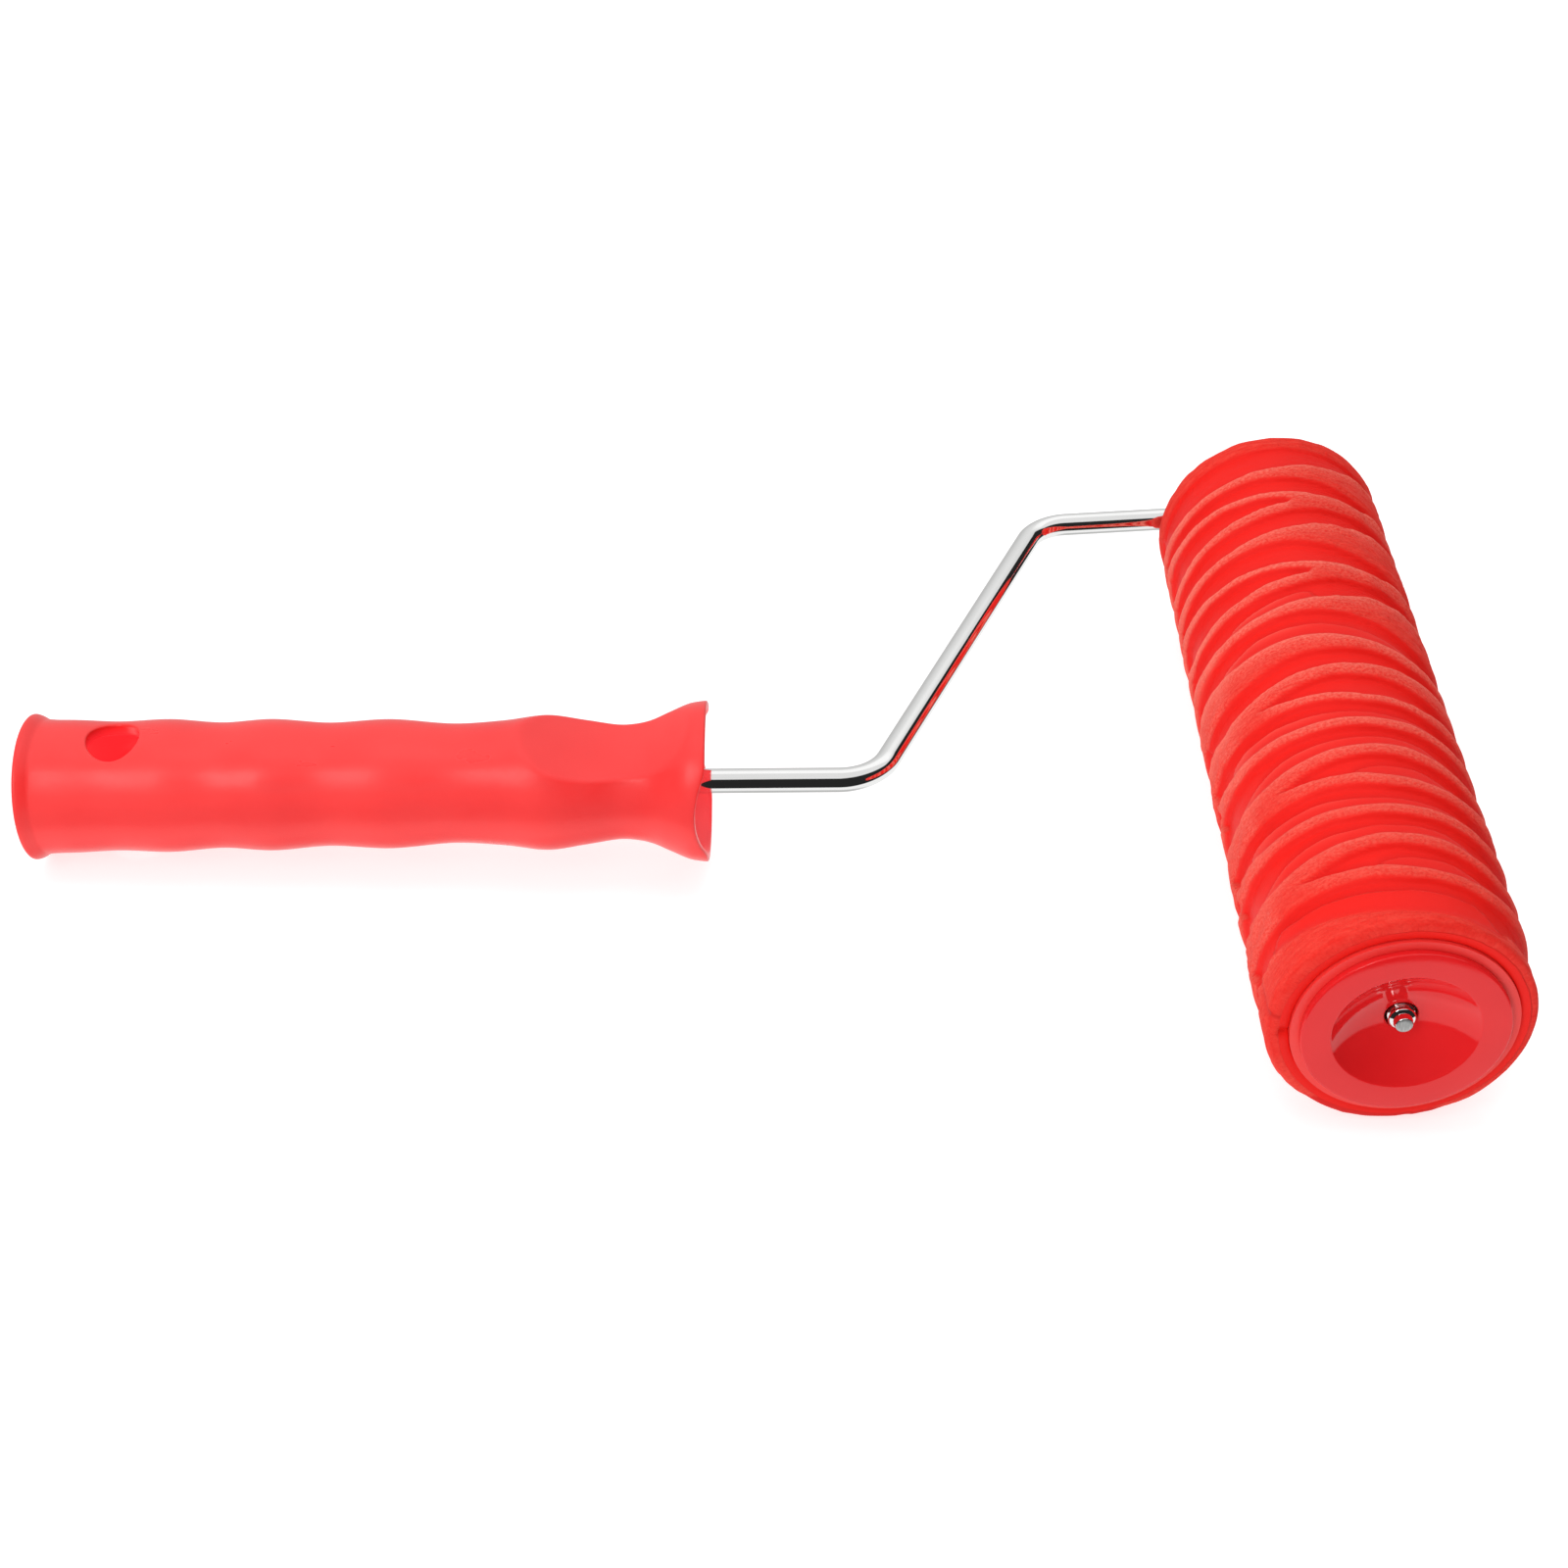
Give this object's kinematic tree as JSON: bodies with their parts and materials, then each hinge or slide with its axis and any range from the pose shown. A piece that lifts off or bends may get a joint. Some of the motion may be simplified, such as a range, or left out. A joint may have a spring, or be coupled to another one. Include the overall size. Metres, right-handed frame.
{
  "type": "textured pattern roller",
  "caption": "Hand pattern roller: rubber sleeve with raised wavy ridges spins on a cranked chrome wire frame held in a red moulded handle with a pole socket and hang hole.",
  "frame": {"origin": "centre of the pole socket's mouth, at the butt of the handle", "axes": "+X runs along the handle from the butt towards the roller; the roller's axis is parallel to Y, with the wire's bend at its +Y end; +Z is square to the plane of the bent wire"},
  "size_m": [0.312, 0.1907, 0.054],
  "materials": {
    "handle_plastic": "satin moulded polypropylene, fine grain",
    "chrome_wire": "bright plated",
    "washer_steel": "zinc plated",
    "spring_steel": "oiled spring steel",
    "sleeve_rubber": "soft rubber, rough ridge tops and smooth hollows",
    "tube_plastic": "extruded tube",
    "cap_plastic": "glossy moulded",
    "bearing_plastic": "natural nylon"
  },
  "bodies": {
    "frame": {"handle": "handle_plastic", "wire_frame": "chrome_wire", "thrust_washer": "washer_steel", "snap_ring": "spring_steel"},
    "roller": {"pattern_sleeve": "sleeve_rubber", "core_tube": "tube_plastic", "near_end_cap": "cap_plastic", "far_end_cap": "cap_plastic", "near_bearing": "bearing_plastic", "far_bearing": "bearing_plastic"}
  },
  "joints": [
    {"name": "roller_spin", "type": "hinge", "parent": "frame", "child": "roller", "pos_m": [0.285, 0.0118, 0], "axis": [0, 1, 0], "continuous": true}
  ]
}
